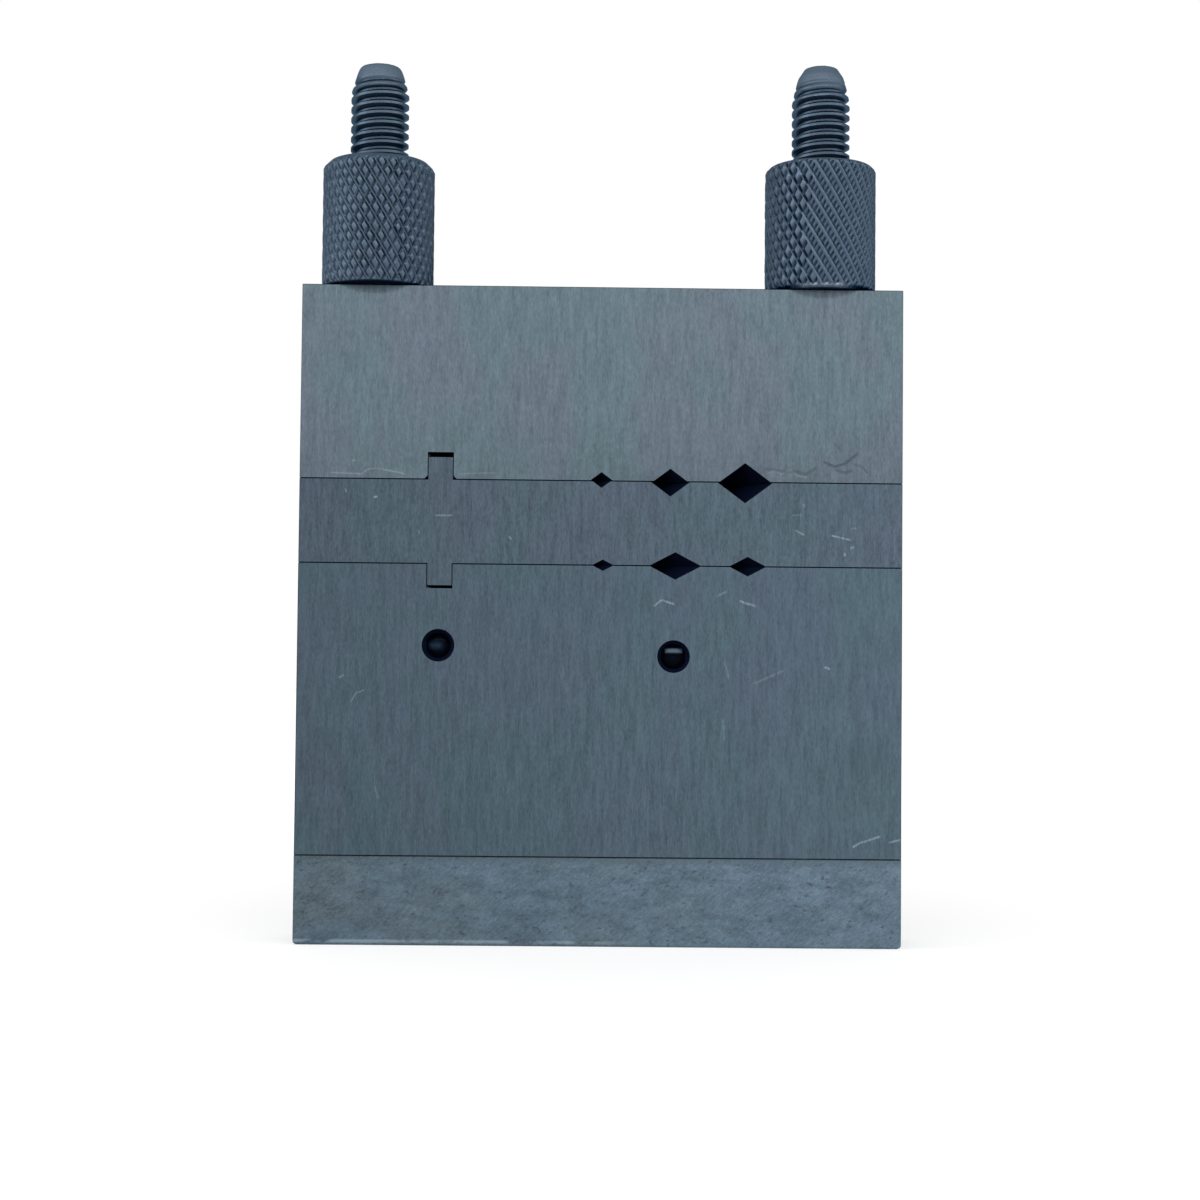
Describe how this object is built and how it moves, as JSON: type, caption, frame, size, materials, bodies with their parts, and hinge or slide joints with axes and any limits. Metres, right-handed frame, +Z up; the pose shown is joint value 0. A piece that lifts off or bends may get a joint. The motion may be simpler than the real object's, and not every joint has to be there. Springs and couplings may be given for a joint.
{
  "type": "miter cutting jig",
  "caption": "Steel jig with three stacked jaws on a foot, clamped by knurled nuts on studs; diamond grooves along the seams hold wire or tube for sawing miters.",
  "frame": {"origin": "on the surface that the foot stands on, under the middle of the jig", "axes": "+X along the front to the right, +Y from the front to the back, +Z up along the studs"},
  "size_m": [0.06, 0.0112, 0.089],
  "materials": {
    "ground_steel": "ground blue-grey tool steel with fine upright grinding lines",
    "mill_steel": "unground mill finish, mottled and lightly pitted",
    "dark_steel": "dark oiled steel, rolled threads and diamond knurl",
    "pin_steel": "hardened, black and glossy",
    "screw_steel": "black oxide"
  },
  "bodies": {
    "base": {"base_jaw": "ground_steel", "foot_bar": "mill_steel", "foot_screw_left": "screw_steel", "foot_screw_right": "screw_steel", "stud_left": "dark_steel", "stud_right": "dark_steel", "dowel_left": "pin_steel", "dowel_right": "pin_steel"},
    "middle": {"middle_jaw": "ground_steel"},
    "top": {"top_jaw": "ground_steel"},
    "left_nut": {"nut_left": "dark_steel"},
    "right_nut": {"nut_right": "dark_steel"}
  },
  "joints": [
    {"name": "top_jaw_lift", "type": "slide", "parent": "base", "child": "top", "axis": [0, 0, 1], "range_m": [0, 0.008]},
    {"name": "middle_jaw_lift", "type": "slide", "parent": "base", "child": "middle", "axis": [0, 0, 1], "range_m": [0, 0.004]},
    {"name": "nut_left_turn", "type": "hinge", "parent": "top", "child": "left_nut", "pos_m": [-0.0229, 0, 0.0655], "axis": [0, 0, 1], "range_deg": [0, 2880]},
    {"name": "nut_right_turn", "type": "hinge", "parent": "top", "child": "right_nut", "pos_m": [0.0221, 0, 0.0655], "axis": [0, 0, 1], "range_deg": [0, 2880]}
  ],
  "couplings": [
    {"joint": "nut_left_turn", "follows": "top_jaw_lift", "rad_per_m": 6283.2},
    {"joint": "nut_right_turn", "follows": "top_jaw_lift", "rad_per_m": 6283.2},
    {"joint": "middle_jaw_lift", "follows": "top_jaw_lift", "ratio": 0.5}
  ]
}
